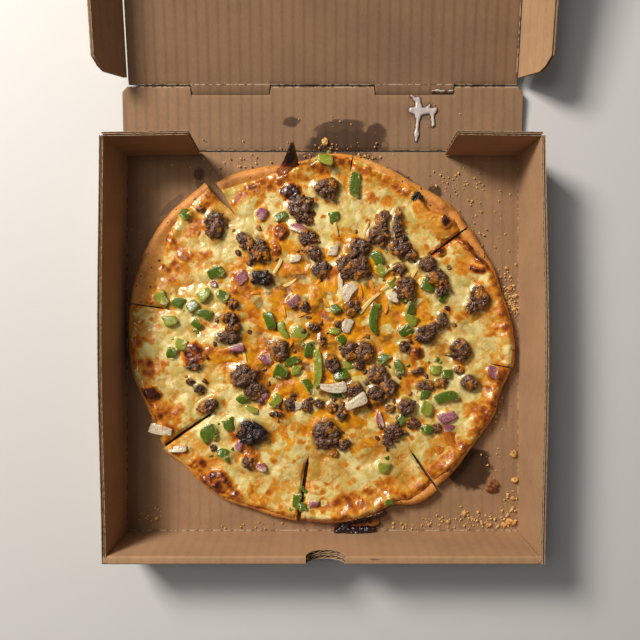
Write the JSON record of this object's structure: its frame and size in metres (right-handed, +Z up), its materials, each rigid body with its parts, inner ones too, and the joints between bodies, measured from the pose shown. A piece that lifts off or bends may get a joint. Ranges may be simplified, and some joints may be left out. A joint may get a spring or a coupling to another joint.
{
  "type": "pizza in its box",
  "caption": "Baked pizza cut into wedges, with beef crumbles, green pepper and onion, in a plain corrugated takeaway box whose back panel, lid and lid flaps fold on creases.",
  "frame": {"origin": "centre of the tray's underside, on the surface that it stands on", "axes": "+X to the right of the opened box, +Y to the back where the lid is, +Z up"},
  "size_m": [0.3378, 0.6626, 0.1053],
  "materials": {
    "kraft_board": "matte",
    "baked_crust": "matte, baked",
    "melted_cheese": "oily, uneven",
    "fried_beef": "dark, slightly greasy",
    "green_pepper": "cooked, glossy",
    "onion": "cooked, glossy",
    "burnt_cheese": "burnt, crisp"
  },
  "bodies": {
    "tray": {"box_tray": "kraft_board", "crust_east": "baked_crust", "crust_north_east": "baked_crust", "crust_north": "baked_crust", "crust_north_west": "baked_crust", "crust_west": "baked_crust", "crust_south_west": "baked_crust", "crust_south": "baked_crust", "crust_south_east": "baked_crust", "cheese_east": "melted_cheese", "cheese_north_east": "melted_cheese", "cheese_north": "melted_cheese", "cheese_north_west": "melted_cheese", "cheese_west": "melted_cheese", "cheese_south_west": "melted_cheese", "cheese_south": "melted_cheese", "cheese_south_east": "melted_cheese", "beef_01": "fried_beef", "beef_02": "fried_beef", "beef_03": "fried_beef", "beef_04": "fried_beef", "beef_05": "fried_beef", "beef_06": "fried_beef", "beef_07": "fried_beef", "beef_08": "fried_beef", "beef_09": "fried_beef", "beef_10": "fried_beef", "beef_11": "fried_beef", "beef_12": "fried_beef", "beef_13": "fried_beef", "beef_14": "fried_beef", "beef_15": "fried_beef", "beef_16": "fried_beef", "beef_17": "fried_beef", "beef_18": "fried_beef", "beef_19": "fried_beef", "beef_20": "fried_beef", "beef_21": "fried_beef", "beef_22": "fried_beef", "beef_23": "fried_beef", "beef_24": "fried_beef", "beef_25": "fried_beef", "beef_26": "fried_beef", "beef_27": "fried_beef", "pepper_01": "green_pepper", "pepper_02": "green_pepper", "pepper_03": "green_pepper", "pepper_04": "green_pepper", "pepper_05": "green_pepper", "pepper_06": "green_pepper", "onion_01": "onion", "onion_02": "onion", "onion_03": "onion", "onion_04": "onion", "burnt_overflow": "burnt_cheese"},
    "back_panel": {"back_panel": "kraft_board"},
    "lid": {"lid_panel": "kraft_board"},
    "lid_flap_left": {"lid_flap_left": "kraft_board"},
    "lid_flap_right": {"lid_flap_right": "kraft_board"},
    "lid_flap_front": {"lid_flap_front": "kraft_board"}
  },
  "joints": [
    {"name": "back_panel_fold", "type": "hinge", "parent": "tray", "child": "back_panel", "pos_m": [0, 0.154, 0.003], "axis": [1, 0, 0], "range_deg": [-5, 80.5]},
    {"name": "lid_fold", "type": "hinge", "parent": "back_panel", "child": "lid", "pos_m": [0, 0.20381, 0.00736], "axis": [1, 0, 0], "range_deg": [-7, 87.5]},
    {"name": "lid_flap_left_fold", "type": "hinge", "parent": "lid", "child": "lid_flap_left", "pos_m": [-0.1515, 0.20381, 0.00736], "axis": [0, 0.9781, 0.2079], "range_deg": [-2.6, 31.1]},
    {"name": "lid_flap_right_fold", "type": "hinge", "parent": "lid", "child": "lid_flap_right", "pos_m": [0.1515, 0.20381, 0.00736], "axis": [0, -0.9781, -0.2079], "range_deg": [-2.6, 31.1]},
    {"name": "lid_flap_front_fold", "type": "hinge", "parent": "lid", "child": "lid_flap_front", "pos_m": [0, 0.49872, 0.07004], "axis": [1, 0, 0], "range_deg": [-2.6, 31.1]}
  ],
  "couplings": [
    {"joint": "lid_flap_left_fold", "follows": "lid_fold", "ratio": 0.354},
    {"joint": "lid_flap_right_fold", "follows": "lid_fold", "ratio": 0.354},
    {"joint": "lid_flap_front_fold", "follows": "lid_fold", "ratio": 0.354}
  ]
}
